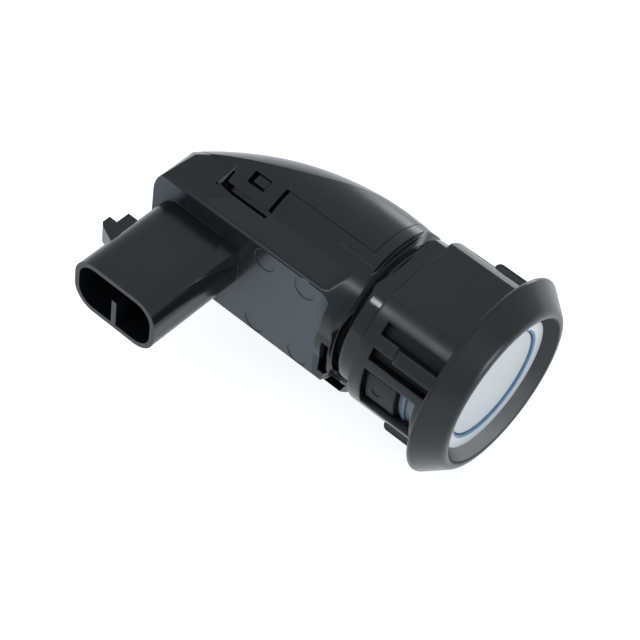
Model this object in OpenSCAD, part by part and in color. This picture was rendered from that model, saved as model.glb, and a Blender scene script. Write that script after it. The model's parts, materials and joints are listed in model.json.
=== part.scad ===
// Ultrasonic parking sensor for a car bumper: an elbow-shaped moulded housing with its connector
// at the side, a snapped lid, a front barrel that carries the transducer in a silicone ring, and a
// bumper bezel whose sleeve has four spring bars with ridges.
// X points out of the bumper along the sensing axis, Z is up and the connector points to -Y.
// The origin is the centre of the bezel flange's rear face, which seats on the bumper skin.
// Angles round the axis count from +Z towards -Y.

/* [Bezel] */
// Outer diameter of the flange
flange_d = 30; // [29:0.5:38]
// Thickness of the flange at its outer edge
flange_edge = 0.75; // [0.5:0.05:1.5]
// Distance of the front rim's crest from the seat
rim_x = 4; // [3.4:0.1:6]
// Radius of the rim's rounded crest
rim_round = 1.2; // [0.8:0.05:1.35]
// Length of the sleeve behind the seat
sleeve_len = 12; // [11.6:0.1:12.8]
// Wall of the sleeve
sleeve_wall = 1.2; // [1:0.05:1.35]

/* [Spring bars] */
// Angle of the upper bars from the top
bar_upper = 57; // [55:1:59]
// Angle of the lower bars from the top
bar_lower = 135; // [132:1:138]
// Angular width of one bar
bar_w = 9; // [7:0.5:10]
// Angular width of the slot on either side of a bar
slot_w = 9; // [7:0.5:10]
// Length of the slots behind the seat
slot_len = 10; // [9.4:0.1:10.4]
// How far a bar's ridge stands out from the sleeve
ridge_h = 0.85; // [0.6:0.05:1]

/* [Sensing face] */
// Diameter of the transducer can
can_d = 15.9; // [15:0.1:16.4]
// Length of the transducer can
can_len = 9.2; // [8:0.1:9.3]
// Distance between the can and the trim ring
lip_w = 0.4; // [0.35:0.05:0.5]
// Width of the trim ring
trim_w = 1.6; // [1.4:0.05:1.8]
// Distance of the sensing face from the seat
face_x = 1.9; // [1.7:0.05:2.1]

/* [Barrel] */
// Diameter of the spigot that plugs into the housing
spigot_d = 19.2; // [18.8:0.05:19.4]
// Length of the spigot
spigot_len = 5.2; // [4.5:0.1:5.4]

/* [Housing] */
// Radius of the housing's round back
arch_r = 11.7; // [11.5:0.05:12.1]
// Distance of the connector wall from the axis
wall_y = 11.5; // [11.2:0.05:12]
// Height of the flat shelf above the axis
shelf_z = 9.8; // [9.4:0.05:10]
// Depth of the connector wall below the axis
base_z = 6.9; // [6.4:0.1:7.6]
// Distance of the housing's rear end from the seat
rear_x = 47.7; // [47.2:0.1:49]
// Distance of the collar's front edge from the seat
collar_x = 15.6; // [15.4:0.05:15.8]
// Wall of the housing
wall = 1.7; // [1.5:0.05:2]

/* [Lid] */
// Thickness of the lid
lid_t = 1.6; // [1.3:0.05:1.8]
// Angle of the long seam from the top
seam_a = 13.5; // [12:0.5:16]
// Length of the snap tab along the seam
tab_len = 7.1; // [6:0.1:8]

/* [Connector] */
// Width of the connector shroud
shroud_w = 14; // [13.4:0.1:14.6]
// Height of the connector shroud
shroud_h = 8.7; // [8.3:0.1:9.2]
// Wall of the connector shroud
shroud_wall = 0.75; // [0.6:0.05:0.95]
// Distance of the shroud's mouth from the axis
mouth_y = 27; // [24:0.1:30]
// Depth of the socket
socket_depth = 13.5; // [11:0.1:14]
// Distance between neighbouring terminals
pin_pitch = 2.4; // [2.2:0.05:2.6]

/* [Fits] */
// Clearance between pieces that sit in each other
fit = 0.05; // [0.03:0.01:0.08]
// Clearance between the sleeve and the barrel
slide = 0.15; // [0.1:0.01:0.2]
// Clearance along the lid's seam
seam = 0.1; // [0.05:0.01:0.15]
// Clearance round the lid's snap tab
tab_gap = 0.6; // [0.4:0.05:0.7]

/* [Hidden] */
$fn = 96;
far = 100;
over = 0.5;

// Sensing face: can, silicone ring and trim ring
can_r = can_d / 2;
can_wall = 0.8;
membrane = 0.8;
can_rear = face_x - can_len;
can_bore = can_r - can_wall;
ring_bore = can_r + fit;
ring_r = can_r + 0.7;
ring_rear = can_rear - 1.5;
lip_r = can_r + lip_w;
groove_r = can_r + lip_w / 2;
groove_depth = 0.6;
trim_r = lip_r + trim_w;
trim_t = 1;
trim_front = face_x + 0.4;
trim_rear = trim_front - trim_t;
lip_front = trim_front - fit;
piezo_r = 3.6;
piezo_t = 0.38;
piezo_front = face_x - membrane - fit / 2;
piezo_rear = piezo_front - piezo_t;
pad_rear = -2;
seal_rear = can_rear + 0.4;
lead_r = 0.4;
lead_y = 1.5;

// Barrel and the sleeve round it: both have a flat top, close over the silicone ring
barrel_bore = ring_r + fit;
barrel_flat = barrel_bore + 0.55;
barrel_r = barrel_flat + 1.7;
bore_r = barrel_r + slide;
bore_flat = barrel_flat + slide;
sleeve_r = bore_r + sleeve_wall;
sleeve_flat = bore_flat + sleeve_wall;

// Bezel: front opening, rim crest, rounded flange edge, side windows and ridges
flange_r = flange_d / 2;
edge_round = flange_edge / 2;
opening_r = trim_r + 0.2;
crest_r = opening_r + 1.45;
crest_x = rim_x - rim_round;
funnel_x = trim_front - 0.25;
lip_x = 0.9;
window_from = 77;
window_to = 112;
window_front = -1.7;
ridge_rear = -6.9;
bars = [bar_upper, -bar_upper, bar_lower, -bar_lower];

// Barrel: nose, neck, spigot, latch blocks, side windows and collar lugs
barrel_front = lip_x - slide;
neck_r = barrel_r + 0.25;
neck_front = -sleeve_len - slide;
neck_rear = -collar_x + 0.5;
neck_round = 1;
spigot_r = spigot_d / 2;
spigot_rear = neck_rear - spigot_len;
spigot_bore = spigot_r - 1.4;
seat_bore = ring_r - 0.8;
partition = 1.4;
lead_hole = 3;
block_from = window_from + 4;
block_to = window_to - 5;
block_rear = -slot_len + 0.4;
block_front = -5;
block_r = sleeve_r - 0.8;
ejector = [-7.9, 95];
ejector_r = 0.75;
ejector_cut = 0.15;
pad_front = -1;
pad_to = 127;
pad_r = barrel_r - 0.35;
pad_fold = 0.25;
pad_folds = [-4, -2.6];
fold_w = 0.6;
lug_r = spigot_r + 0.8;

// Housing: far-side rounding, rounded front, bores, notches and the recessed wall panel
bend_x = -21.1;
bend_y = -25;
bend_z = 0.5;
bend_r = 24;
bend_edge = 12;
edge_r = 0.9;
rear_round = 6;
collar_r = 11.25;
nose_r = 24.6;
nose_x = -collar_x - sqrt(nose_r * nose_r - collar_r * collar_r);
nose_round = 1;
blend = 0.02;
nose_reach = nose_r - nose_round + blend;
front_taper = 2.2;
taper_lip = 0.2;
collar_bore = spigot_r + fit;
bore_end = spigot_rear - slide;
bulkhead = 1.6;
cavity_front = bore_end - bulkhead;
notch_rear = -collar_x - 1.7;
notch_front = -collar_x - 0.4;
notch_low = -4.7;
notch_high = 1.1;
lug_play = 0.2;
ear_r = collar_r + 1.45;
ear_rear = -collar_x - 1.4;
ear_front = -collar_x + 1.3;
ear_from = 118;
ear_to = 150;
panel_cut = 0.2;
panel_curve = 50;
panel_front = -18.4;
panel_mid = -2;
panel_corner = 1.2;
mark_r = 1.73;
mark_cut = 0.1;
marks = [[-21.4, 7.8], [-28.2, 7.6], [-28.4, -4.75], [-20.9, -4.85]];

// Rear pad that levels the angle between the round back and the shelf behind the snap tab
pad_y = wall_y - edge_r;
pad_a = atan2(pad_y, shelf_z) - acos(arch_r / norm([pad_y, shelf_z]));

// Lid: limits of its three zones, its thin nose over the collar, its ledge and the tab's window
rear_seam = 24.5;
far_seam = 5;
tab_a = 32.3;
nose_t = 0.8;
lid_front = -collar_x - 1.9;
lid_rear = -rear_x + 2.1;
tab_x0 = lid_rear + 6.1;
tab_x1 = tab_x0 + tab_len;
trough = tab_gap + 0.5;
trough_slack = trough / arch_r * 180 / PI;
seam_slack = seam / arch_r * 180 / PI;
ledge_t = 1.1;
ledge_a = 6;
ledge_w = 1.5;
catch_x0 = tab_x0 + 2.1;
catch_x1 = tab_x1 - 2.2;
catch_a0 = 15.5;
catch_a1 = 25;
catch_side = 0.7;
catch_end = 0.15;
catch_high = 0.8;
catch_low = 2.6;
catch_sink = 0.15;

// Connector: shroud centre, corner, key rib, locking lug and terminals
shroud_x = -39.3;
shroud_z = 2;
shroud_corner = 3.4;
socket_end = mouth_y - socket_depth;
rib_t = 0.8;
rib_top = shroud_z + 0.7;
lug_top = shroud_z + 1.8;
lug_t = 3;
lug_h = 3;
lug_step = 1.3;
lug_ramp_y = -mouth_y + 6.4;
lug_ramp = 1.6;
lug_nose = 0.5;
lug_hook_y = lug_ramp_y + 2.9;
lug_tail_y = lug_hook_y + 2.2;
pin_w = 0.64;
pin_z = shroud_z + 0.7;
pin_free = socket_depth * 0.45;
pin_out = socket_end + pin_free;
pin_leg = wall_y - wall - 1.2;
pin_rib = 0.7;
pin_xs = [for (k = [-1.5, -0.5, 0.5, 1.5]) shroud_x + k * pin_pitch + sign(k) * pin_rib];

// Electronics: board level, thickness and component places
board_z = -3.2;
board_t = 1;
board_top = board_z + board_t;
board_gap = 0.4;
board_front = cavity_front - 0.5;
choke = [-28.5, -3];
choke_r = 3.6;
choke_flange = 1.2;
choke_h = 5;
choke_post = 1.6;
chip = [-38.5, -1.2];
chip_l = 5;
chip_w = 4;
chip_h = 1.5;
chip_lift = 0.1;
chip_legs = 4;
leg_w = 0.4;
leg_t = 0.3;
leg_reach = 0.9;
can_cap = [-33, 3];
can_cap_r = 2;
can_cap_h = 5.5;
box_cap = [-42.8, -4.4];
box_cap_size = [1.6, 3.2, 1.4];
crystal = [-34.6, -4.6];
crystal_size = [3.2, 2.5, 0.9];
winding_in = 0.4;
joint_x = board_front - 1.4;

// Bar between two stations of the axis
module disc(r, x0, x1) {
    translate([x0, 0, 0])
        rotate([0, 90, 0])
            cylinder(r = r, h = x1 - x0);
}

// Solid turned about the axis from a profile of radius and station
module turned() {
    rotate([0, 90, 0])
        rotate_extrude()
            children();
}

// Part of a tube between two radii, two stations and two angles from the top
module sector(r0, r1, x0, x1, a0, a1) {
    rotate([0, 90, 0])
        rotate([0, 0, min(a0, a1) + 180])
            rotate_extrude(angle = abs(a1 - a0))
                translate([r0, x0])
                    square([r1 - r0, x1 - x0]);
}

// Everything below a height
module below(z) {
    translate([-far, -far, z - 2 * far])
        cube(2 * far);
}

// Section in Y and Z drawn out between two stations
module prism_x(x0, x1) {
    translate([x0, 0, 0])
        rotate([90, 0, 90])
            linear_extrude(x1 - x0)
                children();
}

// Section in X and Z drawn out between two depths
module prism_y(y0, y1) {
    translate([0, y1, 0])
        rotate([90, 0, 0])
            linear_extrude(y1 - y0)
                children();
}

// Rectangle with round corners about a centre
module round_rect(cx, cy, w, h, r) {
    translate([cx - w / 2 + r, cy - h / 2])
        square([w - 2 * r, h]);
    translate([cx - w / 2, cy - h / 2 + r])
        square([w, h - 2 * r]);
    for (sx = [-1, 1], sy = [-1, 1])
        translate([cx + sx * (w / 2 - r), cy + sy * (h / 2 - r)])
            circle(r);
}

// Point of a circle where the line from an outside point touches it, on the chosen side
function touch(c, r, p, side) =
    let (d = norm(p - c), u = (p - c) / d, k = r / d)
    c + r * (k * u + side * sqrt(1 - k * k) * [-u.y, u.x]);

// Flange with a round edge, cone and rounded rim of the bezel as one profile
module bezel_profile() {
    crest = [crest_r, crest_x];
    edge = [flange_r - edge_round, edge_round];
    funnel = [opening_r, funnel_x];
    slope = (touch(crest, rim_round - edge_round, edge, 1) - crest) / (rim_round - edge_round);
    polygon([
        [opening_r, lip_x],
        funnel,
        touch(crest, rim_round, funnel, -1),
        crest,
        crest + rim_round * slope,
        edge + edge_round * slope,
        edge,
        [edge.x, 0],
        [bore_r - over, 0],
        [bore_r - over, lip_x]
    ]);
    translate(crest)
        circle(rim_round);
    translate(edge)
        circle(edge_round);
}

// Ridge of one spring bar: a round rear end, then level into the flange
module ridge(a) {
    level = ridge_rear + ridge_h;
    rotate([0, 90, 0])
        rotate([0, 0, a - bar_w / 2 + 180])
            rotate_extrude(angle = bar_w)
                translate([sleeve_r, level]) {
                    circle(ridge_h);
                    translate([-over, 0])
                        square([over + ridge_h, edge_round - level]);
                }
}

module bezel() {
    color("#1b1d1f")
    difference() {
        union() {
            turned() bezel_profile();
            intersection() {
                disc(sleeve_r, -sleeve_len, lip_x / 2);
                below(sleeve_flat);
            }
            for (a = bars)
                ridge(a);
        }
        intersection() {
            disc(bore_r, -sleeve_len - over, lip_x);
            below(bore_flat);
        }
        disc(opening_r, 0, rim_x + over);
        for (a = bars, s = [-1, 1])
            sector(bore_r - over, sleeve_r + over, -slot_len, 0,
                a + s * bar_w / 2, a + s * (bar_w / 2 + slot_w));
        for (s = [-1, 1])
            sector(bore_r - over, sleeve_r + over, -slot_len, window_front,
                s * window_from, s * window_to);
    }
}

module trim_ring() {
    color("#c9ced2")
    difference() {
        disc(trim_r, trim_rear, trim_front);
        disc(lip_r + fit, trim_rear - over, trim_front + over);
    }
}

// Silicone ring with its lip at the front and a folded pad in each side window of the barrel
module silicone_ring() {
    color("#8fa9c0")
    difference() {
        union() {
            disc(ring_r, ring_rear, trim_rear - fit);
            disc(lip_r, 0, lip_front);
            for (s = [-1, 1]) {
                sector(ring_r - over, pad_r, block_front + slide, pad_front - slide,
                    s * (window_from + 1), s * (pad_to - 1));
                for (x = pad_folds)
                    sector(ring_r, pad_r + pad_fold, x - fold_w / 2, x + fold_w / 2,
                        s * (window_from + 2), s * (pad_to - 2));
            }
        }
        disc(ring_bore, ring_rear - over, face_x);
        disc(groove_r, face_x - groove_depth, trim_front);
    }
}

module transducer_can() {
    color("#d8dadc")
    difference() {
        disc(can_r, can_rear, face_x);
        disc(can_bore, can_rear - over, face_x - membrane);
    }
}

module piezo_disc() {
    color("#c8b56a")
    disc(piezo_r, piezo_rear, piezo_front);
}

// Passages for the two leads
module lead_ways(x0, x1) {
    for (s = [-1, 1])
        translate([0, s * lead_y, 0])
            disc(lead_r + fit, x0, x1);
}

module damping_pad() {
    color("#5a5148")
    difference() {
        disc(can_bore - fit, pad_rear, piezo_rear - fit);
        lead_ways(pad_rear - over, face_x);
    }
}

module can_seal() {
    color("#b9bdc0")
    difference() {
        disc(can_bore - fit, seal_rear, pad_rear - fit);
        lead_ways(seal_rear - over, pad_rear);
    }
}

// One lead: straight back along the axis, then down to the board
module lead(s) {
    y = s * lead_y;
    translate([0, y, 0])
        disc(lead_r, joint_x, piezo_rear - fit);
    translate([joint_x, y, 0])
        sphere(lead_r);
    translate([joint_x, y, board_top + fit])
        cylinder(r = lead_r, h = -board_top - fit);
}

module lead_a() {
    color("#b03a2e")
    lead(-1);
}

module lead_b() {
    color("#2b2b2b")
    lead(1);
}

// Barrel lug that snaps into a window of the housing's collar
module collar_lug(s) {
    translate([notch_rear + lug_play, s > 0 ? 0 : -lug_r, notch_low + lug_play])
        cube([notch_front - notch_rear - 2 * lug_play, lug_r, notch_high - notch_low - 2 * lug_play]);
}

// Small round ejector mark in a latch block
module ejector_mark(s) {
    rotate([s * ejector.y, 0, 0])
        translate([ejector.x, 0, block_r - ejector_cut])
            cylinder(r = ejector_r, h = 1);
}

module barrel() {
    color("#202325")
    difference() {
        union() {
            intersection() {
                turned() {
                    square([barrel_r, barrel_front]);
                    translate([0, neck_front])
                        square([barrel_r, -neck_front]);
                    translate([0, neck_rear + neck_round])
                        square([neck_r, neck_front - neck_rear - neck_round]);
                    translate([0, neck_rear])
                        square([neck_r - neck_round, neck_round + over]);
                    translate([neck_r - neck_round, neck_rear + neck_round])
                        circle(neck_round);
                }
                below(barrel_flat);
            }
            disc(trim_r, slide, trim_rear - fit);
            disc(spigot_r, spigot_rear, neck_rear + over);
            for (s = [-1, 1]) {
                sector(barrel_r - over, block_r, block_rear, block_front,
                    s * block_from, s * block_to);
                collar_lug(s);
            }
        }
        disc(barrel_bore, ring_rear - fit, face_x);
        disc(seat_bore, neck_rear + partition, ring_rear);
        disc(lead_hole, neck_rear - over, ring_rear);
        disc(spigot_bore, spigot_rear - over, neck_rear);
        for (s = [-1, 1]) {
            sector(ring_r - over, sleeve_r, block_front, pad_front, s * window_from, s * pad_to);
            ejector_mark(s);
        }
    }
}

// Section of the housing: the round back with the connector wall's block against it
module body_section(i) {
    low = -base_z + i;
    high = shelf_z - i;
    side = -wall_y + i;
    r = edge_r - min(i, edge_r - 0.3);
    circle(arch_r - i);
    translate([side + r, low])
        square([wall_y - i - r, high - low]);
    translate([side, low + r])
        square([wall_y - i, high - low - 2 * r]);
    for (z = [low + r, high - r])
        translate([side + r, z])
            circle(r);
}

// Side view of the housing with its rounded rear end
module body_side(i) {
    x0 = -rear_x + i;
    r = rear_round - i;
    z = arch_r - i;
    translate([x0 + r, -z])
        square([rear_x - i - r, 2 * z]);
    translate([x0, -z + r])
        square([r, 2 * z - 2 * r]);
    for (s = [-1, 1])
        translate([x0 + r, s * (z - r)])
            circle(r);
}

// Thick round-edged disc that bends the far side of the housing towards the connector
module bend(i) {
    translate([bend_x, bend_y, bend_z]) {
        translate([0, 0, -bend_edge + i])
            cylinder(r = bend_r, h = 2 * (bend_edge - i));
        rotate_extrude()
            translate([bend_r, 0])
                circle(bend_edge - i);
    }
}

// Sloping pad between the round back and the shelf at the rear
module rear_pad() {
    prism_x(-rear_x - 2, tab_x0)
        polygon([[0, 0], (arch_r - blend) * [-sin(pad_a), cos(pad_a)], [-pad_y, shelf_z], [-pad_y, 0]]);
}

// Whole form of the housing and lid, set in by i on every side
module body_form(i, front = -collar_x, padded = false) {
    intersection() {
        union() {
            prism_x(-rear_x - 1, front) body_section(i);
            if (padded)
                rear_pad();
        }
        prism_y(-far / 2, far / 2) body_side(i);
        bend(i);
    }
}

// Inside of the form behind the bulkhead
module body_inside(i) {
    body_form(i, cavity_front);
}

// Radius and height at which the rounded front's lip and its ball join, for a level plane
function nose_edge(level) = sqrt(pow(nose_reach, 2) - pow(level - nose_round, 2));
function nose_joint(level) = (level - nose_round) * nose_r / nose_reach;

// Rounded edge between a level plane and the ball of the rounded front
module nose_lip(level) {
    translate([0, -over])
        square([nose_edge(level), level + over]);
    translate([nose_edge(level), level - nose_round])
        circle(nose_round);
}

// Ball with rounded edges at the shelf and the base, turned about an upright line
module rounded_front() {
    high = shelf_z + blend;
    low = base_z + blend;
    translate([nose_x, 0, 0])
        rotate_extrude() {
            nose_lip(high);
            mirror([0, 1])
                nose_lip(low);
            intersection() {
                circle(nose_r);
                translate([0, -nose_joint(low)])
                    square([nose_r, nose_joint(low) + nose_joint(high)]);
            }
        }
}

// What the near front corners lose outside the rounded front, short of the round back
module front_corners() {
    difference() {
        translate([cavity_front, -wall_y - 1, -base_z - 1])
            cube([-cavity_front, wall_y + 1, base_z + shelf_z + 2]);
        rounded_front();
        disc(arch_r - blend, cavity_front - 1, 1);
    }
}

// Cone that turns the round back down to the collar's edge
module front_taper_cone() {
    foot = -collar_x - front_taper;
    translate([foot, 0, 0])
        rotate([0, 90, 0])
            cylinder(r1 = collar_r + 2 * front_taper, r2 = collar_r - taper_lip, h = front_taper);
    disc(far, -far, foot);
}

// Slice between two angles and two stations
module slice(a0, a1, x0, x1) {
    prism_x(x0, x1)
        polygon([[0, 0], far * [-sin(a0), cos(a0)], far * [-sin(a1), cos(a1)]]);
}

// Everything above a near seam at an angle and a far seam at a height, between two stations
module above(a, low, x0, x1) {
    prism_x(x0, x1)
        polygon([[-low * tan(a), low], far * [-sin(a), cos(a)], [far, far], [far, low]]);
}

// The lid's zone: the long part, the rear part and the snap tab, grown by the seam's and tab's gaps
module lid_zone(s, sa, t, ta) {
    above(seam_a + sa, far_seam - s, lid_rear - s, lid_front + s);
    above(rear_seam + sa, far_seam - s, lid_rear - s, tab_x0 + over);
    above(tab_a + ta, far_seam - s, tab_x0 - t, tab_x1 + t);
}

// Room under the lid: the form inside its full wall, and inside its thin nose over the collar
module under_lid(grow) {
    body_form(lid_t + grow, 0);
    intersection() {
        body_form(nose_t + grow, 0);
        disc(far, cavity_front + grow, 0);
    }
}

module lid() {
    color("#26292b")
    difference() {
        intersection() {
            body_form(0);
            lid_zone(0, 0, 0, 0);
        }
        under_lid(0);
        slice(catch_a0, catch_a1, catch_x0, catch_x1);
    }
}

// Connector shroud with its socket still solid
module shroud() {
    prism_y(-mouth_y, -wall_y + wall)
        round_rect(shroud_x, shroud_z, shroud_w, shroud_h, shroud_corner);
}

module socket() {
    prism_y(-mouth_y - over, -socket_end)
        round_rect(shroud_x, shroud_z, shroud_w - 2 * shroud_wall, shroud_h - 2 * shroud_wall,
            shroud_corner - shroud_wall);
}

// Key rib that stands from the socket's floor side to a little above its middle
module key_rib() {
    low = shroud_z - shroud_h / 2 + shroud_wall / 2;
    translate([shroud_x - rib_t / 2, -mouth_y, low])
        cube([rib_t, socket_depth + over, rib_top - low]);
}

// Locking lug on the rear side of the shroud: ramp, hook and a lower rib behind the hook
module lock_lug() {
    root = shroud_x - shroud_w / 2;
    tip = root - lug_h;
    translate([0, 0, lug_top - lug_t])
        linear_extrude(lug_t)
            polygon([
                [root + over, lug_ramp_y],
                [root, lug_ramp_y],
                [tip + lug_nose, lug_ramp_y + lug_ramp - lug_nose],
                [tip, lug_ramp_y + lug_ramp],
                [tip, lug_hook_y],
                [tip + lug_step, lug_hook_y],
                [tip + lug_step, lug_tail_y],
                [root + over, lug_tail_y]
            ]);
}

// Terminal: a straight blade in the socket and a leg down to the board
module pin_shape(x, grow) {
    w = pin_w + 2 * grow;
    translate([x - w / 2, -pin_out - grow, pin_z - w / 2])
        cube([w, pin_out - pin_leg + pin_w / 2 + grow, w]);
    foot = board_z + board_t / 4 - grow;
    translate([x - w / 2, -pin_leg - w / 2, foot])
        cube([w, w, pin_z + w / 2 - foot]);
}

// Recessed panel of the connector wall, open below, with a curved front edge and a round corner
module wall_panel() {
    top = shelf_z - edge_r / 2;
    high = top - panel_corner - panel_mid;
    reach = panel_curve + panel_corner;
    corner_x = panel_front + panel_curve - sqrt(reach * reach - high * high);
    low = -base_z - 1;
    rear = -rear_x - 1;
    prism_y(-wall_y - over, -wall_y + panel_cut) {
        difference() {
            translate([rear, low])
                square([panel_front + 2 - rear, panel_mid + high * panel_curve / reach - low]);
            translate([panel_front + panel_curve, panel_mid])
                circle(panel_curve, $fn = 180);
        }
        translate([rear, 0])
            square([corner_x - rear, top]);
        translate([corner_x, top - panel_corner])
            circle(panel_corner);
    }
    for (m = marks)
        translate([m.x, -wall_y + panel_cut + mark_cut, m.y])
            rotate([90, 0, 0])
                cylinder(r = mark_r, h = 1);
}

// Ear under the collar that reaches forward over the barrel's neck
module collar_ear(s) {
    sector(collar_r - over, ear_r, ear_rear, -collar_x, s * ear_from, s * ear_to);
    sector(neck_r + slide, ear_r, -collar_x - over, ear_front, s * ear_from, s * ear_to);
}

module housing_solid() {
    difference() {
        union() {
            intersection() {
                body_form(0, padded = true);
                front_taper_cone();
            }
            disc(collar_r, bore_end - over, -collar_x);
            for (s = [-1, 1])
                collar_ear(s);
        }
        front_corners();
        wall_panel();
    }
    difference() {
        union() {
            shroud();
            lock_lug();
        }
        socket();
    }
    key_rib();
}

// Room inside the housing: wide below, narrower under the lid's ledge, open at the top
module housing_room() {
    difference() {
        body_inside(wall);
        above(tab_a + ledge_a, far_seam - ledge_w, -far, 0);
    }
    intersection() {
        body_inside(lid_t + ledge_t);
        above(tab_a + ledge_a + 1, far_seam - ledge_w - fit, -far, 0);
    }
    intersection() {
        body_inside(lid_t);
        above(seam_a - ledge_a, far_seam + ledge_w, lid_rear + ledge_w, 0);
    }
}

// Recess that the lid lies in
module lid_recess() {
    difference() {
        lid_zone(seam, seam_slack, tab_gap, trough_slack);
        under_lid(fit);
    }
}

// Catch that fills part of the tab's window
module tab_catch() {
    difference() {
        intersection() {
            body_form(catch_sink);
            slice(catch_a0 + catch_high, catch_a1 - catch_low, catch_x0 + catch_side,
                catch_x1 - catch_end);
        }
        body_form(lid_t + ledge_t / 2);
    }
}

module housing() {
    color("#1f2224")
    union() {
        difference() {
            housing_solid();
            housing_room();
            lid_recess();
            disc(collar_bore, bore_end, -collar_x + over);
            disc(lead_hole + 1, cavity_front - over, bore_end + over);
            for (s = [-1, 1])
                translate([notch_rear, s > 0 ? 0 : -far, notch_low])
                    cube([notch_front - notch_rear, far, notch_high - notch_low]);
            for (x = pin_xs)
                pin_shape(x, fit);
        }
        tab_catch();
    }
}

module pin_1() {
    color("#c9a24a")
    pin_shape(pin_xs[0], 0);
}

module pin_2() {
    color("#c9a24a")
    pin_shape(pin_xs[1], 0);
}

module pin_3() {
    color("#c9a24a")
    pin_shape(pin_xs[2], 0);
}

module pin_4() {
    color("#c9a24a")
    pin_shape(pin_xs[3], 0);
}

module potting() {
    color("#2e2f31")
    intersection() {
        body_inside(wall + fit);
        translate([-rear_x, -far / 2, -far])
            cube([rear_x + cavity_front - fit, far, far + board_z - fit]);
    }
}

module circuit_board() {
    color("#1f5a34")
    difference() {
        intersection() {
            body_inside(wall + board_gap);
            translate([-rear_x, -far / 2, board_z])
                cube([rear_x + board_front, far, board_t]);
        }
        for (x = pin_xs)
            pin_shape(x, fit);
    }
}

module choke_core() {
    color("#3a3a3c")
    translate([choke.x, choke.y, board_top + fit]) {
        cylinder(r = choke_r, h = choke_flange);
        cylinder(r = choke_post, h = choke_h);
        translate([0, 0, choke_h - choke_flange])
            cylinder(r = choke_r, h = choke_flange);
    }
}

module choke_winding() {
    h = choke_h - 2 * choke_flange - 2 * fit;
    color("#b5733a")
    translate([choke.x, choke.y, board_top + 2 * fit + choke_flange])
        difference() {
            cylinder(r = choke_r - winding_in, h = h);
            translate([0, 0, -over])
                cylinder(r = choke_post + fit, h = h + 2 * over);
        }
}

module control_chip() {
    pitch = chip_l / chip_legs;
    color("#18191a")
    translate([chip.x, chip.y, board_top + fit]) {
        translate([-chip_l / 2, -chip_w / 2, chip_lift])
            cube([chip_l, chip_w, chip_h]);
        for (k = [0 : chip_legs - 1])
            translate([(k + 0.5) * pitch - (chip_l + leg_w) / 2, -chip_w / 2 - leg_reach, 0])
                cube([leg_w, chip_w + 2 * leg_reach, leg_t]);
    }
}

module smoothing_capacitor() {
    color("#aeb3b6")
    translate([can_cap.x, can_cap.y, board_top + fit])
        cylinder(r = can_cap_r, h = can_cap_h);
}

module chip_capacitor() {
    color("#a9865c")
    translate([box_cap.x - box_cap_size.x / 2, box_cap.y - box_cap_size.y / 2, board_top + fit])
        cube(box_cap_size);
}

module resonator() {
    color("#b9bec1")
    translate([crystal.x - crystal_size.x / 2, crystal.y - crystal_size.y / 2, board_top + fit])
        cube(crystal_size);
}

housing();
lid();
barrel();
bezel();
trim_ring();
silicone_ring();
transducer_can();
piezo_disc();
damping_pad();
can_seal();
lead_a();
lead_b();
circuit_board();
choke_core();
choke_winding();
control_chip();
smoothing_capacitor();
chip_capacitor();
resonator();
pin_1();
pin_2();
pin_3();
pin_4();
potting();
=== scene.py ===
"""Ultrasonic parking sensor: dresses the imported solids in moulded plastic, silicone, paint and plating.
Sizes and places are in millimetres, and MM turns them into metres where Blender takes them."""
import json
from math import cos, radians, sin

import bmesh
import bpy
from mathutils import Matrix, Vector


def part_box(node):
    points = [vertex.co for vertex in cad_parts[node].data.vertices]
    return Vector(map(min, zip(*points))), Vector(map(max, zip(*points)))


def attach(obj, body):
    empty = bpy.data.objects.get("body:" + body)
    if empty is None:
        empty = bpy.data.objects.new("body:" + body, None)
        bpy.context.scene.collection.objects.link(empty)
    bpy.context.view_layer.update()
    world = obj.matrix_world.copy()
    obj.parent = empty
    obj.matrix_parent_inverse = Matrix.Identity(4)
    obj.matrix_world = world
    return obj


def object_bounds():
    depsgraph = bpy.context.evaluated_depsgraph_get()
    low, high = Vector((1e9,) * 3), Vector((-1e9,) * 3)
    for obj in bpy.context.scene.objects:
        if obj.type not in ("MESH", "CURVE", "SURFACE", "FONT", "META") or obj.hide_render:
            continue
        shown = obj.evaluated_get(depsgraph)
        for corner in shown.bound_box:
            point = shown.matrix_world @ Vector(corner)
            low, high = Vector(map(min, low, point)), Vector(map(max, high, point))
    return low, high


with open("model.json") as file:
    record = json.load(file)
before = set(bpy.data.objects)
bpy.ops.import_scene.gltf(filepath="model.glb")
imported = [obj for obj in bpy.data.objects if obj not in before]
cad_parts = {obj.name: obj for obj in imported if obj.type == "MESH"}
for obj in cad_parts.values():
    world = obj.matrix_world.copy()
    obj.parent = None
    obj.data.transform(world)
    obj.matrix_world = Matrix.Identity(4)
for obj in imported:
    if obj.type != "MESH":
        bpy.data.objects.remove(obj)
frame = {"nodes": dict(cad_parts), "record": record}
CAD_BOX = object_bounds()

MM = 0.001
nodes = frame["nodes"]
mounts = {mount["name"]: mount for mount in frame["record"]["mounts"]}
SHROUD_X, _, SHROUD_Z = [metres / MM for metres in mounts["plug_socket"]["pos_m"]]
SLEEVE_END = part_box("bezel")[0].x / MM


# Colour and node helpers

def linear(code):
    """An sRGB hex colour as linear red, green, blue and alpha."""
    parts = [int(code[i:i + 2], 16) / 255 for i in (1, 3, 5)]
    return [c / 12.92 if c <= 0.04045 else ((c + 0.055) / 1.055) ** 2.4 for c in parts] + [1.0]


def per(size):
    """The texture scale that gives a pattern about this many millimetres from feature to feature."""
    return 1 / (size * MM)


def add(tree, kind, sockets=None, **settings):
    """Adds a shader node with its settings; sockets holds values, or outputs of other nodes to link."""
    made = tree.nodes.new(kind)
    for name, value in settings.items():
        setattr(made, name, value)
    for name, value in (sockets or {}).items():
        if isinstance(value, bpy.types.NodeSocket):
            tree.links.new(value, made.inputs[name])
        else:
            made.inputs[name].default_value = value
    return made


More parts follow.
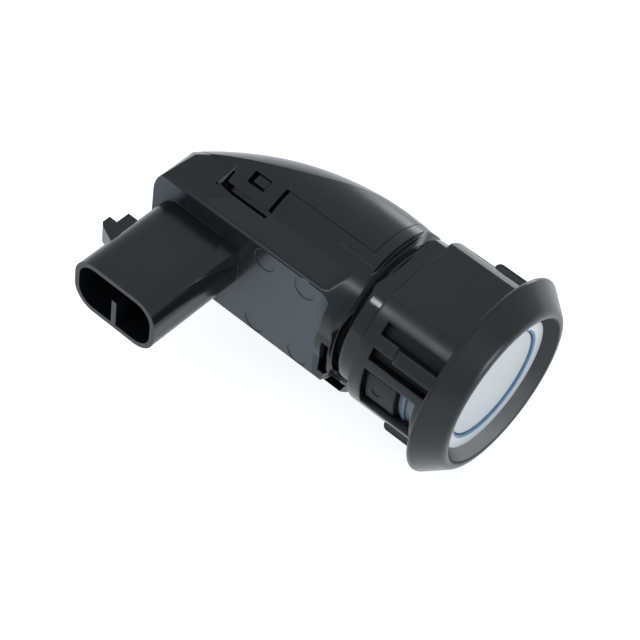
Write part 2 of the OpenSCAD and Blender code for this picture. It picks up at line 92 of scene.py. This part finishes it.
def new_material(name):
    """A new material with its node tree emptied, and the Object coordinates that its patterns read."""
    material = bpy.data.materials.new(name)
    material.use_nodes = True
    tree = material.node_tree
    tree.nodes.clear()
    return material, tree, add(tree, "ShaderNodeTexCoord").outputs["Object"]


def close_material(tree, sockets):
    """Ends a material with its shader and output."""
    shader = add(tree, "ShaderNodeBsdfPrincipled", sockets)
    add(tree, "ShaderNodeOutputMaterial", {"Surface": shader.outputs["BSDF"]})


# Forms of the black mouldings: each changes colour, sheen and normal in some places of one piece.
# A pair of places is where a fade starts and where it ends

ACROSS_AXIS = (0, 1, 1)
# Roughness where a surface is etched or hidden
DULL = 0.6
# Panel of the connector wall: its level, and the slanted edge of the painted shadow beside the connector's
# root
PANEL_Y = -11.3
PANEL_SPAN = 0.15
PANEL_FACING = -1.0
FACING_SPAN = 0.02
ETCH_GREY = "#43494e"
CONNECTOR_SHADOW_SLANT = 0.48
CONNECTOR_SHADOW_FADE = (6.6, 8.6)
ETCH_IN_PAINTED_SHADOW = 0.1
# Front corners of the housing beside the collar: along X, up from their foot and down from their top
CORNER_X = (-19.5, -17.5)
CORNER_LOW = (3, 7)
CORNER_HIGH = (10.6, 9.9)
# Barrel: where the glossy neck goes into the sleeve
NECK_FADE = (SLEEVE_END - 0.4, SLEEVE_END + 0.2)
# Rim of the bezel: its inside, the lean of its normal, and that normal's turn inwards per metre of radius
RIM_R = (11.5, 10.9)
RIM_X = (1.2, 1.8)
RIM_LEAN = (0.8, -0.35, 0.45)
RIM_TURN = (0, -14, -14)


def etched_panel_and_painted_shadow(tree, place, colour, sheen):
    """Colour and sheen with the recessed panel of the connector wall etched, which makes it greyer and
    matt;
    beside the connector's root the etch fades out up to a slanted edge, a painted shadow of the connector."""
    at = add(tree, "ShaderNodeSeparateXYZ", {"Vector": place})
    surface = add(tree, "ShaderNodeTexCoord")
    turned = add(tree, "ShaderNodeSeparateXYZ", {"Vector": surface.outputs["Normal"]})
    deep = add(tree, "ShaderNodeMath", {0: at.outputs["Y"], 1: PANEL_Y * MM, 2: PANEL_SPAN * MM},
               operation="COMPARE")
    flat = add(tree, "ShaderNodeMath", {0: turned.outputs["Y"], 1: PANEL_FACING, 2: FACING_SPAN},
               operation="COMPARE")
    wall = add(tree, "ShaderNodeMath", {0: deep.outputs["Value"], 1: flat.outputs["Value"]},
               operation="MULTIPLY")
    slant = add(tree, "ShaderNodeMath", {0: at.outputs["Z"], 1: -CONNECTOR_SHADOW_SLANT, 2: at.outputs["X"]},
                operation="MULTIPLY_ADD")
    side = add(tree, "ShaderNodeMath", {0: slant.outputs["Value"], 1: SHROUD_X * MM}, operation="SUBTRACT")
    away = add(tree, "ShaderNodeMath", {0: side.outputs["Value"]}, operation="ABSOLUTE")
    # Painted shadow of the connector: near its root the grey etch fades out and the panel stays dark
    clear = add(tree, "ShaderNodeMapRange", {"Value": away.outputs["Value"], "From Min": CONNECTOR_SHADOW_FADE[0] * MM,
                                             "From Max": CONNECTOR_SHADOW_FADE[1] * MM, "To Min": ETCH_IN_PAINTED_SHADOW},
                interpolation_type="SMOOTHSTEP")
    panel = add(tree, "ShaderNodeMath", {0: wall.outputs["Value"], 1: clear.outputs["Result"]},
                operation="MULTIPLY")
    etched = add(tree, "ShaderNodeMix", {"Factor": panel.outputs["Value"], "A": colour,
                                         "B": linear(ETCH_GREY)}, data_type="RGBA")
    matt = add(tree, "ShaderNodeMapRange", {"Value": panel.outputs["Value"], "To Min": sheen,
                                            "To Max": DULL})
    return etched.outputs["Result"], matt.outputs["Result"]


def front_corner(tree, place, normal):
    """The normal with the housing's front corners turned outwards, so that they run softly into the
    collar."""
    at = add(tree, "ShaderNodeSeparateXYZ", {"Vector": place})
    forward = add(tree, "ShaderNodeMapRange", {"Value": at.outputs["X"], "From Min": CORNER_X[0] * MM,
                                               "From Max": CORNER_X[1] * MM},
                  interpolation_type="SMOOTHSTEP")
    above = add(tree, "ShaderNodeMapRange", {"Value": at.outputs["Z"], "From Min": CORNER_LOW[0] * MM,
                                             "From Max": CORNER_LOW[1] * MM},
                interpolation_type="SMOOTHSTEP")
    below = add(tree, "ShaderNodeMapRange", {"Value": at.outputs["Z"], "From Min": CORNER_HIGH[0] * MM,
                                             "From Max": CORNER_HIGH[1] * MM},
                interpolation_type="SMOOTHSTEP")
    between = add(tree, "ShaderNodeMath", {0: above.outputs["Result"], 1: below.outputs["Result"]},
                  operation="MULTIPLY")
    corner = add(tree, "ShaderNodeMath", {0: forward.outputs["Result"], 1: between.outputs["Value"]},
                 operation="MULTIPLY")
    outward = add(tree, "ShaderNodeVectorMath", {0: place, 1: ACROSS_AXIS}, operation="MULTIPLY")
    soft = add(tree, "ShaderNodeVectorMath", {0: outward.outputs["Vector"]}, operation="NORMALIZE")
    blended = add(tree, "ShaderNodeMix", {"Factor": corner.outputs["Value"], "A": normal,
                                          "B": soft.outputs["Vector"]}, data_type="VECTOR")
    return blended.outputs["Result"]


def housing_form(tree, place, colour, sheen, normal):
    """The housing's etched panel with its painted shadow beside the connector, and soft front corners."""
    colour, sheen = etched_panel_and_painted_shadow(tree, place, colour, sheen)
    return colour, sheen, front_corner(tree, place, normal)


def barrel_form(tree, place, colour, sheen, normal):
    """The barrel's sheen: glossy at the neck and dull inside the sleeve."""
    at = add(tree, "ShaderNodeSeparateXYZ", {"Vector": place})
    hidden = add(tree, "ShaderNodeMapRange", {"Value": at.outputs["X"], "From Min": NECK_FADE[0] * MM,
                                              "From Max": NECK_FADE[1] * MM, "To Min": sheen,
                                              "To Max": DULL})
    return colour, hidden.outputs["Result"], normal


def bezel_form(tree, place, colour, sheen, normal):
    """The bezel's normal inside the rim, which leans to the front, so that the rim runs softly down to the
    silver ring."""
    at = add(tree, "ShaderNodeSeparateXYZ", {"Vector": place})
    outward = add(tree, "ShaderNodeVectorMath", {0: place, 1: ACROSS_AXIS}, operation="MULTIPLY")
    radius = add(tree, "ShaderNodeVectorMath", {0: outward.outputs["Vector"]}, operation="LENGTH")
    inside = add(tree, "ShaderNodeMapRange", {"Value": radius.outputs["Value"], "From Min": RIM_R[0] * MM,
                                              "From Max": RIM_R[1] * MM},
                 interpolation_type="SMOOTHSTEP")
    proud = add(tree, "ShaderNodeMapRange", {"Value": at.outputs["X"], "From Min": RIM_X[0] * MM,
                                             "From Max": RIM_X[1] * MM},
                interpolation_type="SMOOTHSTEP")
    rim = add(tree, "ShaderNodeMath", {0: inside.outputs["Result"], 1: proud.outputs["Result"]},
              operation="MULTIPLY")
    leaning = add(tree, "ShaderNodeVectorMath", {0: place, 1: RIM_TURN, 2: RIM_LEAN},
                  operation="MULTIPLY_ADD")
    soft = add(tree, "ShaderNodeVectorMath", {0: leaning.outputs["Vector"]}, operation="NORMALIZE")
    blended = add(tree, "ShaderNodeMix", {"Factor": rim.outputs["Value"], "A": normal,
                                          "B": soft.outputs["Vector"]}, data_type="VECTOR")
    return colour, sheen, blended.outputs["Result"]


# Materials of the outside; the tool's grain and the paint's flake are drawn coarser than they are, to show

EDGE_SAMPLES = 6
SKIN_DEPTH = 0.03
FLOW_MARK = 9
FLOW_FACTOR = (0.3, 0.7)
FLOW_SPREAD = 0.05
TOOL_GRAIN = 0.2
PLASTIC_SPECULAR = 0.36
PAINT_FLAKE = 0.12
PAINT_PEEL = 0.5
PAINT_EDGE = 0.12
SILICONE_DUST = 0.6
SILICONE_EDGE = 0.2
SILICONE_DEPTH = 0.5
SILICONE_SPREAD = (1.0, 1.1, 1.3)
# Where the painted shade on the silicone pads behind the bezel starts and where it is full
PAD_SHADE_FROM = (-1, -2.5)
FACE_PEEL = 0.45
FACE_PEEL_DEPTH = 0.04
FACE_CLOUD = 6
FACE_EDGE = 0.2
SATIN_TONES = ("#0c0e10", "#101214")
MATTE_TONES = ("#0a0c0e", "#0e1012")


def moulded_black(name, tones, rough, edge, form=None):
    """Glass-filled black PBT out of a satin tool: nearly black, with a soft sheen that a fine tool grain
    breaks up, faint cloudy flow marks in the sheen, and edges rounded by the mould."""
    material, tree, place = new_material(name)
    clouds = add(tree, "ShaderNodeTexNoise", {"Vector": place, "Scale": per(FLOW_MARK), "Detail": 4})
    grain = add(tree, "ShaderNodeTexNoise", {"Vector": place, "Scale": per(TOOL_GRAIN), "Detail": 3})
    tone = add(tree, "ShaderNodeMix", {"Factor": clouds.outputs["Fac"], "A": linear(tones[0]),
                                       "B": linear(tones[1])}, data_type="RGBA")
    flow = add(tree, "ShaderNodeMapRange", {"Value": clouds.outputs["Fac"], "From Min": FLOW_FACTOR[0],
                                            "From Max": FLOW_FACTOR[1], "To Min": rough - FLOW_SPREAD,
                                            "To Max": rough + FLOW_SPREAD})
    rounded = add(tree, "ShaderNodeBevel", {"Radius": edge * MM}, samples=EDGE_SAMPLES)
    colour, sheen, normal = tone.outputs["Result"], flow.outputs["Result"], rounded.outputs["Normal"]
    if form:
        colour, sheen, normal = form(tree, place, colour, sheen, normal)
    bump = add(tree, "ShaderNodeBump", {"Height": grain.outputs["Fac"], "Strength": 0.06,
                                        "Distance": SKIN_DEPTH * MM, "Normal": normal})
    close_material(tree, {"Base Color": colour, "Roughness": sheen, "Specular IOR Level": PLASTIC_SPECULAR,
                          "Normal": bump.outputs["Normal"]})
    return material


def silver_paint():
    """Silver-painted plastic ring: satin, with the fine sparkle of the flake and a slight orange peel."""
    material, tree, place = new_material("silver_painted_ring")
    flake = add(tree, "ShaderNodeTexVoronoi", {"Vector": place, "Scale": per(PAINT_FLAKE)})
    peel = add(tree, "ShaderNodeTexNoise", {"Vector": place, "Scale": per(PAINT_PEEL), "Detail": 2})
    colour = add(tree, "ShaderNodeMix", {"Factor": flake.outputs["Distance"], "A": linear("#bcbfc1"),
                                         "B": linear("#c8cacc")}, data_type="RGBA")
    rounded = add(tree, "ShaderNodeBevel", {"Radius": PAINT_EDGE * MM}, samples=EDGE_SAMPLES)
    bump = add(tree, "ShaderNodeBump", {"Height": peel.outputs["Fac"], "Strength": 0.05,
                                        "Distance": SKIN_DEPTH * MM, "Normal": rounded.outputs["Normal"]})
    close_material(tree, {"Base Color": colour.outputs["Result"], "Metallic": 0.25, "Roughness": 0.38,
                          "Normal": bump.outputs["Normal"]})
    return material


def blue_silicone():
    """Pale blue silicone: soft and slightly see-through at its edges, with a smooth dull skin; the pads
    behind the bezel are painted greyer and darker, as painted shade."""
    material, tree, place = new_material("blue_silicone_rubber")
    dust = add(tree, "ShaderNodeTexNoise", {"Vector": place, "Scale": per(SILICONE_DUST), "Detail": 4})
    own_tone = add(tree, "ShaderNodeMix", {"Factor": dust.outputs["Fac"], "A": linear("#62829f"),
                                        "B": linear("#6e8da9")}, data_type="RGBA")
    # Painted shade: behind the bezel the pads are mixed towards a darker grey
    at = add(tree, "ShaderNodeSeparateXYZ", {"Vector": place})
    pad_shade = add(tree, "ShaderNodeMapRange", {"Value": at.outputs["X"], "From Min": PAD_SHADE_FROM[0] * MM,
                                              "From Max": PAD_SHADE_FROM[1] * MM})
    colour = add(tree, "ShaderNodeMix", {"Factor": pad_shade.outputs["Result"], "A": own_tone.outputs["Result"],
                                         "B": linear("#5a6470")}, data_type="RGBA")
    rounded = add(tree, "ShaderNodeBevel", {"Radius": SILICONE_EDGE * MM}, samples=EDGE_SAMPLES)
    bump = add(tree, "ShaderNodeBump", {"Height": dust.outputs["Fac"], "Strength": 0.08,
                                        "Distance": SKIN_DEPTH * MM, "Normal": rounded.outputs["Normal"]})
    close_material(tree, {"Base Color": colour.outputs["Result"], "Roughness": 0.42, "IOR": 1.41,
                          "Subsurface Weight": 0.25, "Subsurface Radius": SILICONE_SPREAD,
                          "Subsurface Scale": SILICONE_DEPTH * MM, "Normal": bump.outputs["Normal"]})
    return material


def painted_face():
    """Pale grey paint on the drawn aluminium can: satin and even, with a faint orange peel."""
    material, tree, place = new_material("painted_aluminium_face")
    peel = add(tree, "ShaderNodeTexNoise", {"Vector": place, "Scale": per(FACE_PEEL), "Detail": 3})
    cloud = add(tree, "ShaderNodeTexNoise", {"Vector": place, "Scale": per(FACE_CLOUD), "Detail": 2})
    colour = add(tree, "ShaderNodeMix", {"Factor": cloud.outputs["Fac"], "A": linear("#aeafb1"),
                                         "B": linear("#b4b5b7")}, data_type="RGBA")
    rounded = add(tree, "ShaderNodeBevel", {"Radius": FACE_EDGE * MM}, samples=EDGE_SAMPLES)
    bump = add(tree, "ShaderNodeBump", {"Height": peel.outputs["Fac"], "Strength": 0.06,
                                        "Distance": FACE_PEEL_DEPTH * MM,
                                        "Normal": rounded.outputs["Normal"]})
    close_material(tree, {"Base Color": colour.outputs["Result"], "Roughness": 0.45,
                          "Normal": bump.outputs["Normal"]})
    return material


# Materials of the inside

DRAW_MARK = 0.3
SPECK_DEPTH = 0.05
# The wave texture turns WAVE_RATE radians over one length of its scale, here one radian over WIRE_RADIAN
WAVE_RATE = 20
WIRE_RADIAN = 0.2
WIRE_DEPTH = 0.1


def plated(name, dull, bright):
    """Plated or drawn metal: bright, with a faint unevenness from drawing in tone and sheen."""
    material, tree, place = new_material(name)
    marks = add(tree, "ShaderNodeTexNoise", {"Vector": place, "Scale": per(DRAW_MARK), "Detail": 4})
    colour = add(tree, "ShaderNodeMix", {"Factor": marks.outputs["Fac"], "A": linear(dull),
                                         "B": linear(bright)}, data_type="RGBA")
    sheen = add(tree, "ShaderNodeMapRange", {"Value": marks.outputs["Fac"], "To Min": 0.2, "To Max": 0.4})
    close_material(tree, {"Base Color": colour.outputs["Result"], "Metallic": 1.0,
                          "Roughness": sheen.outputs["Result"]})
    return material


def mottled(name, dark, light, rough, speck):
    """Resin, foam, ceramic or insulation: two close tones in specks, and a bump to match them."""
    material, tree, place = new_material(name)
    specks = add(tree, "ShaderNodeTexNoise", {"Vector": place, "Scale": per(speck), "Detail": 3})
    colour = add(tree, "ShaderNodeMix", {"Factor": specks.outputs["Fac"], "A": linear(dark),
                                         "B": linear(light)}, data_type="RGBA")
    bump = add(tree, "ShaderNodeBump", {"Height": specks.outputs["Fac"], "Strength": 0.15,
                                        "Distance": SPECK_DEPTH * MM})
    close_material(tree, {"Base Color": colour.outputs["Result"], "Roughness": rough,
                          "Normal": bump.outputs["Normal"]})
    return material


def wound_copper():
    """Enamelled copper wire wound in layers: rings round the post, drawn coarser than the wire."""
    material, tree, place = new_material("enamelled_copper")
    turns = add(tree, "ShaderNodeTexWave", {"Vector": place, "Scale": per(WIRE_RADIAN) / WAVE_RATE,
                                            "Distortion": 0.2}, bands_direction="Z")
    colour = add(tree, "ShaderNodeMix", {"Factor": turns.outputs["Fac"], "A": linear("#7d4420"),
                                         "B": linear("#c4803f")}, data_type="RGBA")
    bump = add(tree, "ShaderNodeBump", {"Height": turns.outputs["Fac"], "Strength": 0.4,
                                        "Distance": WIRE_DEPTH * MM})
    close_material(tree, {"Base Color": colour.outputs["Result"], "Metallic": 1.0, "Roughness": 0.35,
                          "Normal": bump.outputs["Normal"]})
    return material


# Finish of every solid

housing_black = moulded_black("satin_black_pbt", SATIN_TONES, rough=0.22, edge=0.12, form=housing_form)
tin = plated("tinned_terminal", "#b9b6ac", "#d8d5cb")
FINISHES = {
    "housing": housing_black,
    "lid": moulded_black("satin_black_pbt_lid", SATIN_TONES, rough=0.22, edge=0.05),
    "barrel": moulded_black("glossy_black_pbt", SATIN_TONES, rough=0.1, edge=0.4, form=barrel_form),
    "bezel": moulded_black("matte_black_pbt", MATTE_TONES, rough=0.25, edge=0.5, form=bezel_form),
    "trim_ring": silver_paint(),
    "silicone_ring": blue_silicone(),
    "transducer_can": painted_face(),
    "piezo_disc": mottled("silvered_piezo_ceramic", "#b7a25c", "#c9b878", rough=0.5, speck=0.3),
    "damping_pad": mottled("cork_rubber_pad", "#4a4139", "#6a5d50", rough=0.9, speck=0.5),
    "can_seal": mottled("white_silicone_seal", "#b3b7ba", "#c3c7ca", rough=0.5, speck=1.5),
    "lead_a": mottled("red_wire_insulation", "#9c3026", "#b03a2e", rough=0.4, speck=0.6),
    "lead_b": mottled("black_wire_insulation", "#1c1c1d", "#262627", rough=0.4, speck=0.6),
    "circuit_board": mottled("green_solder_mask", "#174a2a", "#1f5c35", rough=0.35, speck=0.8),
    "choke_core": mottled("sintered_ferrite", "#303032", "#3c3c3f", rough=0.6, speck=0.2),
    "choke_winding": wound_copper(),
    "control_chip": mottled("moulded_chip_resin", "#161718", "#1e1f20", rough=0.55, speck=0.15),
    "smoothing_capacitor": plated("drawn_aluminium_can", "#9fa4a8", "#bfc4c8"),
    "chip_capacitor": mottled("fired_capacitor_ceramic", "#8f6f48", "#a9865c", rough=0.5, speck=0.2),
    "resonator": plated("nickel_plated_can", "#a9a79f", "#c6c4bc"),
    "pin_1": tin,
    "pin_2": tin,
    "pin_3": tin,
    "pin_4": tin,
    "potting": mottled("black_potting_resin", "#1d1e20", "#282a2c", rough=0.25, speck=2.0),
}
for name, material in FINISHES.items():
    nodes[name].data.materials.clear()
    nodes[name].data.materials.append(material)


# Small wedges moulded on the housing, each the hull of a few points, set a little into the solid

EDGE_BREAK = 0.15
SUNK = 0.1
# Gusset that squares the connector shroud's upper corner at the wall and runs out along its round
SHROUD_W = 14
SHROUD_H = 8.7
SHROUD_ROUND = 3.4
SHROUD_EDGE = SHROUD_X + SHROUD_W / 2
SHROUD_TOP = SHROUD_Z + SHROUD_H / 2
GUSSET_ROOT = PANEL_Y + SUNK
GUSSET_REACH = 9.8
GUSSET_TIP = 1.0
GUSSET = (
    (SHROUD_EDGE, GUSSET_ROOT, SHROUD_TOP),
    (SHROUD_EDGE - GUSSET_TIP, GUSSET_ROOT - GUSSET_REACH, SHROUD_TOP - GUSSET_TIP),
    (SHROUD_EDGE - SHROUD_ROUND, GUSSET_ROOT, SHROUD_TOP),
    (SHROUD_EDGE, GUSSET_ROOT, SHROUD_TOP - SHROUD_ROUND),
)
# Ramp from the front end of the rear pad down to the shelf, beside the lid's snap tab; pairs are Y and Z
TAB_REAR = -39.5
TAB_GAP = 0.6
SHELF_Z = 9.8
PAD_FOOT = (-7.6, 10.42)
FLUSH = 0.02
RAMP_REAR = TAB_REAR - SUNK
RAMP_LEN = 2.8
RAMP_W = 3.3
RAMP_LOW = SHELF_Z - FLUSH
PAD_RAMP = (
    (RAMP_REAR, *PAD_FOOT),
    (RAMP_REAR + RAMP_LEN, PAD_FOOT[0], RAMP_LOW),
    (RAMP_REAR, PAD_FOOT[0] - RAMP_W, RAMP_LOW),
    (RAMP_REAR, PAD_FOOT[0], SHELF_Z - SUNK),
)
# Slope at the rear pad's front end, which fills the rear half of the gap behind the tab
GAP_REAR = TAB_REAR - TAB_GAP - SUNK / 2
GAP_MIDDLE = TAB_REAR - TAB_GAP / 2
SLOPE_TOP = (-2.9, 11.3)
SLOPE_LIP = (-3.1, 11.22)
SLOPE_HEEL = (-3.1, 11.1)
SLOPE_KNEE = (-6.25, 9.9)
SLOPE_FOOT = (-7.6, 9.75)
PAD_END = (
    (GAP_REAR, *SLOPE_TOP),
    (GAP_REAR, *PAD_FOOT),
    (GAP_MIDDLE, *SLOPE_LIP),
    (GAP_MIDDLE, *SLOPE_KNEE),
    (GAP_MIDDLE, *SLOPE_FOOT),
    (GAP_REAR, *SLOPE_FOOT),
    (GAP_REAR, *SLOPE_HEEL),
)


def wedge(name, points):
    """A wedge with the edge between its first two points just broken, on the housing."""
    shape = bmesh.new()
    made = [shape.verts.new(Vector(point) * MM) for point in points]
    bmesh.ops.convex_hull(shape, input=made)
    edge = [e for e in shape.edges if set(e.verts) == set(made[:2])]
    bmesh.ops.bevel(shape, geom=edge, offset=EDGE_BREAK * MM, affect="EDGES", segments=3, profile=0.5,
                    material=-1)
    mesh = bpy.data.meshes.new(name)
    shape.to_mesh(mesh)
    shape.free()
    mesh.materials.append(housing_black)
    piece = bpy.data.objects.new(name, mesh)
    bpy.context.scene.collection.objects.link(piece)
    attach(piece, "root")


wedge("shroud_gusset", GUSSET)
wedge("pad_ramp", PAD_RAMP)
wedge("pad_end", PAD_END)


# Camera at the photograph's viewing angle; angles are in degrees

VIEW_TARGET = Vector((-19.43, -9.58, 1.91)) * MM
VIEW_AZIMUTH = 33.46
VIEW_ELEVATION = 49.66
VIEW_ROLL = 9.87
VIEW_DISTANCE = 280 * MM
LENS = 122.55
SENSOR = 36
CLIP_START = 10 * MM

turn = radians(VIEW_AZIMUTH)
lift = radians(VIEW_ELEVATION)
back = Vector((sin(turn) * cos(lift), -cos(turn) * cos(lift), sin(lift)))
sideways = Vector((cos(turn), sin(turn), 0))
aim = Matrix((sideways, back.cross(sideways), back)).transposed().to_4x4()
camera = bpy.data.objects.new("camera", bpy.data.cameras.new("camera"))
camera.data.lens = LENS
camera.data.sensor_width = SENSOR
camera.data.clip_start = CLIP_START
camera.matrix_world = (Matrix.Translation(VIEW_TARGET + VIEW_DISTANCE * back) @ aim
                       @ Matrix.Rotation(radians(VIEW_ROLL), 4, "Z"))
bpy.context.scene.collection.objects.link(camera)
bpy.context.scene.camera = camera


# Floor and studio light

FLOOR_SIZE = 3000
FLOOR_GAP = 0.2
FLOOR_GLOW = 0.85
TENT_STRENGTH = 1.05
LAMP_WHITE = "#f4faff"
# Place and size of each soft box, and its power in watts
SOFT_BOXES = {
    "left_box": ((-250, -435, 490), 60, 0.22),
    "front_box": ((640, 40, 140), 240, 1.3),
    "back_box": ((-100, 650, 10), 320, 1.7),
}


def white_floor():
    """A plain pale floor just under the object: the white sheet of a light table, which glows softly."""
    bpy.ops.mesh.primitive_plane_add(size=FLOOR_SIZE * MM, location=(0, 0, CAD_BOX[0][2] - FLOOR_GAP * MM))
    floor = bpy.context.object
    floor.name = "floor"
    material, tree, _ = new_material("white_paper_floor")
    close_material(tree, {"Base Color": linear("#b4b4b4"), "Roughness": 0.9, "Specular IOR Level": 0.1,
                          "Emission Color": linear("#f6f9fc"), "Emission Strength": FLOOR_GLOW})
    floor.data.materials.append(material)


def soft_box(name, place, size, watts):
    """A square soft light that looks at the object."""
    lamp = bpy.data.lights.new(name, "AREA")
    lamp.size = size * MM
    lamp.energy = watts
    lamp.color = linear(LAMP_WHITE)[:3]
    box = bpy.data.objects.new(name, lamp)
    at = Vector(place) * MM
    box.matrix_world = (Matrix.Translation(at)
                        @ (VIEW_TARGET - at).to_track_quat("-Z", "Y").to_matrix().to_4x4())
    bpy.context.scene.collection.objects.link(box)


def studio():
    """Even surroundings, as in a light tent, and soft boxes high at the left, in front of the sensing face
    and low behind the object, which draw the highlights on the neck, the rim and the round edges."""
    world = bpy.data.worlds.new("light_tent")
    world.use_nodes = True
    tent = world.node_tree.nodes["Background"]
    tent.inputs["Color"].default_value = linear("#e4ecf4")
    tent.inputs["Strength"].default_value = TENT_STRENGTH
    bpy.context.scene.world = world
    for name, (place, size, watts) in SOFT_BOXES.items():
        soft_box(name, place, size, watts)
    bpy.context.scene.view_settings.view_transform = "Standard"


white_floor()
studio()
